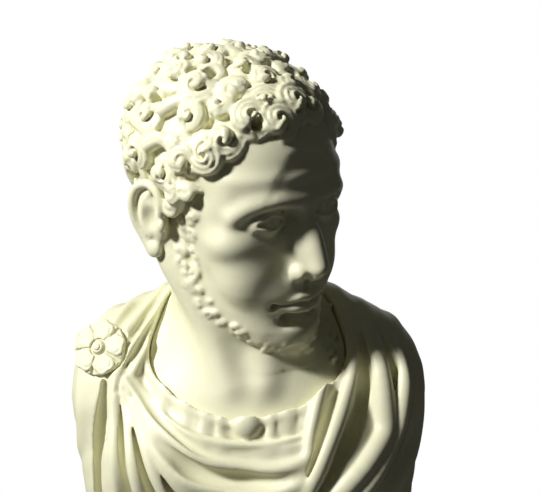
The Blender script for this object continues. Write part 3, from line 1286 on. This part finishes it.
def metal_group():
    """Tarnish in drifts and fine turning marks round the rod's axis."""
    group, given, out = shader_group("turned_metal", [("Patch Scale", 60.0), ("Mark Scale", 1400.0)],
                                     ["Tarnish", "Marks"])
    place = node(group, "ShaderNodeTexCoord").outputs["Object"]
    patch = noise(group, place, given["Patch Scale"], 5.0, 0.6)
    group.links.new(remap(group, patch, 0.38, 0.66), out["Tarnish"])
    level = node(group, "ShaderNodeSeparateXYZ", {"Vector": place}).outputs["Z"]
    marks = node(group, "ShaderNodeTexNoise", {"W": level, "Scale": given["Mark Scale"], "Detail": 2.0},
                 noise_dimensions="1D")
    group.links.new(marks.outputs["Fac"], out["Marks"])
    return group


def mix_colour(tree, share, first, second):
    mixed = node(tree, "ShaderNodeMix", {"Factor": share}, data_type="RGBA")
    for label, value in (("A", first), ("B", second)):
        socket = next(i for i in mixed.inputs if i.name == label and i.type == "RGBA")
        if isinstance(value, bpy.types.NodeSocket):
            tree.links.new(value, socket)
        else:
            socket.default_value = (*value, 1)
    return next(o for o in mixed.outputs if o.type == "RGBA")


def finish_material(name, group, values):
    """A new material with its shader and one placed group."""
    material = bpy.data.materials.new(name)
    material.use_nodes = True
    tree = material.node_tree
    placed = node(tree, "ShaderNodeGroup", node_tree=group)
    for label, value in values.items():
        placed.inputs[label].default_value = value
    return material, tree, tree.nodes["Principled BSDF"], placed.outputs


def scaled(tree, value, factor):
    return worked(tree, "MULTIPLY", value, factor)


def bumped(tree, shader, height, distance):
    bump = node(tree, "ShaderNodeBump", {"Height": height, "Distance": distance, "Strength": 1.0})
    tree.links.new(bump.outputs["Normal"], shader.inputs["Normal"])


def marble(name, pale, deep, dust, veins):
    """Ivory statuary marble, abraded to a satin, with old dust in its creases."""
    material, tree, shader, stone = finish_material(
        name, stone_skin, {"Cloud Scale": 7.0, "Vein Scale": 3.2, "Grain Scale": 1100.0})
    body = mix_colour(tree, stone["Cloud"], pale, deep)
    body = mix_colour(tree, scaled(tree, stone["Vein"], veins), body, tuple(0.55 * c for c in deep))
    body = mix_colour(tree, scaled(tree, stone["Crease"], 0.55), body, dust)
    body = mix_colour(tree, scaled(tree, stone["Edge"], 0.3), body, tuple(min(1, 1.08 * c) for c in pale))
    tree.links.new(body, shader.inputs["Base Color"])
    tree.links.new(remap(tree, stone["Cloud"], 0, 1, 0.40, 0.54), shader.inputs["Roughness"])
    shader.inputs["Subsurface Weight"].default_value = 0.12
    shader.inputs["Subsurface Radius"].default_value = (1.0, 0.8, 0.5)
    shader.inputs["Subsurface Scale"].default_value = 0.003
    bumped(tree, shader, stone["Grain"], 0.00012)
    return material


def metal(name, bright, dull, shine):
    """Turned metal with a dull film in drifts."""
    material, tree, shader, skin = finish_material(
        name, metal_skin, {"Patch Scale": 70.0, "Mark Scale": 1500.0})
    body = mix_colour(tree, scaled(tree, skin["Tarnish"], 0.7), bright, dull)
    tree.links.new(body, shader.inputs["Base Color"])
    tree.links.new(remap(tree, skin["Tarnish"], 0, 1, shine, shine + 0.25), shader.inputs["Roughness"])
    shader.inputs["Metallic"].default_value = 1
    bumped(tree, shader, skin["Marks"], 0.00004)
    return material


FELT_SHADE = (0.012, 0.03, 0.014)
FELT_NAP = (0.035, 0.075, 0.036)


def wool_felt():
    """Dark green pressed wool, with matted fibres."""
    material = bpy.data.materials.new("green_felt")
    material.use_nodes = True
    tree = material.node_tree
    shader = tree.nodes["Principled BSDF"]
    place = node(tree, "ShaderNodeTexCoord").outputs["Object"]
    fibres = noise(tree, place, 1300.0, 6.0, distortion=3.0)
    mats = noise(tree, place, 120.0, 3.0)
    share = remap(tree, worked(tree, "MULTIPLY", fibres, mats), 0.12, 0.42)
    body = mix_colour(tree, share, FELT_SHADE, FELT_NAP)
    tree.links.new(body, shader.inputs["Base Color"])
    shader.inputs["Roughness"].default_value = 0.95
    shader.inputs["Sheen Weight"].default_value = 0.4
    bumped(tree, shader, fibres, 0.0003)
    return material


# ---------------------------------------------------------------- stage
FLOOR_RADIUS = 0.52


def make_floor():
    clear_selection()
    bpy.ops.mesh.primitive_circle_add(vertices=128, radius=FLOOR_RADIUS, fill_type="NGON")
    floor = bpy.context.object
    floor.name = "floor"
    material = bpy.data.materials.new("pale_floor")
    material.use_nodes = True
    shader = material.node_tree.nodes["Principled BSDF"]
    seen = node(material.node_tree, "ShaderNodeLightPath").outputs["Is Camera Ray"]
    shade = mix_colour(material.node_tree, seen, (0.12, 0.12, 0.12), (0.86, 0.86, 0.85))
    material.node_tree.links.new(shade, shader.inputs["Base Color"])
    shader.inputs["Roughness"].default_value = 0.9
    floor.data.materials.append(material)


def area_light(name, place, aim, size, power, colour):
    light = bpy.data.lights.new(name, "AREA")
    light.size = size
    light.energy = power
    light.color = colour
    lamp = bpy.data.objects.new(name, light)
    bpy.context.collection.objects.link(lamp)
    lamp.location = place
    direction = np.array(aim, float) - np.array(place, float)
    direction /= np.linalg.norm(direction)
    lamp.rotation_euler = (math.acos(-direction[2]), 0, math.atan2(direction[1], direction[0]) - math.pi / 2)


LAMPS = [  # name, place, aim, size, power and colour
    ("key", (-1.68, -0.98, 1.98), (0, 0, 0.5), 0.32, 87, (1, 0.995, 0.97)),
    ("back_fill", (0.5, 2.2, 0.5), (0, 0, 0.4), 1.2, 6, (1, 0.99, 0.95)),
]
ROOM_COLOUR = (1.0, 1.0, 0.92, 1)
ROOM_STRENGTH = 0.035


def make_light():
    """One strong key from the left, a faint one behind, a white backdrop and a dim room."""
    for lamp in LAMPS:
        area_light(*lamp)
    world = bpy.data.worlds.new("studio")
    bpy.context.scene.world = world
    world.use_nodes = True
    tree = world.node_tree
    fill = tree.nodes["Background"]
    fill.inputs["Color"].default_value = ROOM_COLOUR
    fill.inputs["Strength"].default_value = ROOM_STRENGTH
    backdrop = node(tree, "ShaderNodeBackground", {"Color": (1, 1, 1, 1), "Strength": 1.0})
    seen = node(tree, "ShaderNodeLightPath").outputs["Is Camera Ray"]
    mixed = node(tree, "ShaderNodeMixShader", {0: seen, 1: fill.outputs[0], 2: backdrop.outputs[0]})
    tree.links.new(mixed.outputs[0], tree.nodes["World Output"].inputs["Surface"])
    bpy.context.scene.view_settings.view_transform = "Standard"


def install(piece, body, stands_for, material):
    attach(piece, body)
    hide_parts(stands_for)
    piece.data.materials.clear()
    piece.data.materials.append(material)


IVORY = {"pale": (0.84, 0.825, 0.61), "deep": (0.77, 0.76, 0.54), "dust": (0.32, 0.28, 0.16), "veins": 0.04}
VEINED = {"pale": (0.80, 0.78, 0.58), "deep": (0.68, 0.66, 0.48), "dust": (0.28, 0.25, 0.15), "veins": 0.35}
BRONZE = {"bright": (0.62, 0.42, 0.20), "dull": (0.22, 0.15, 0.08), "shine": 0.28}
STEEL = {"bright": (0.62, 0.63, 0.64), "dull": (0.34, 0.33, 0.32), "shine": 0.22}

set_camera()
stone_skin, metal_skin = stone_group(), metal_group()
statuary = marble("ivory_marble", **IVORY)
base_marble = marble("base_marble", **VEINED)
install(make_head(), "bust", "head", statuary)
install(make_bust(), "bust", "draped_bust", statuary)
install(make_brooch(), "bust", "brooch", statuary)
install(make_socle(), "stand", "socle", base_marble)
install(make_plinth(), "stand", "plinth", base_marble)

bronze, steel = metal("turned_bronze", **BRONZE), metal("bright_steel", **STEEL)
carried_over = {
    "felt_base": wool_felt(),
    "swivel_rod": steel, "clamp_washer": steel, "clamp_nut": steel, "socle_nut": steel,
    "thrust_washer": bronze, "rod_bush": bronze, "neck_dowel": bronze, "brooch_peg": bronze,
}
for name, material in carried_over.items():
    for slot in bpy.data.objects[name].material_slots:
        slot.material = material

make_floor()
make_light()
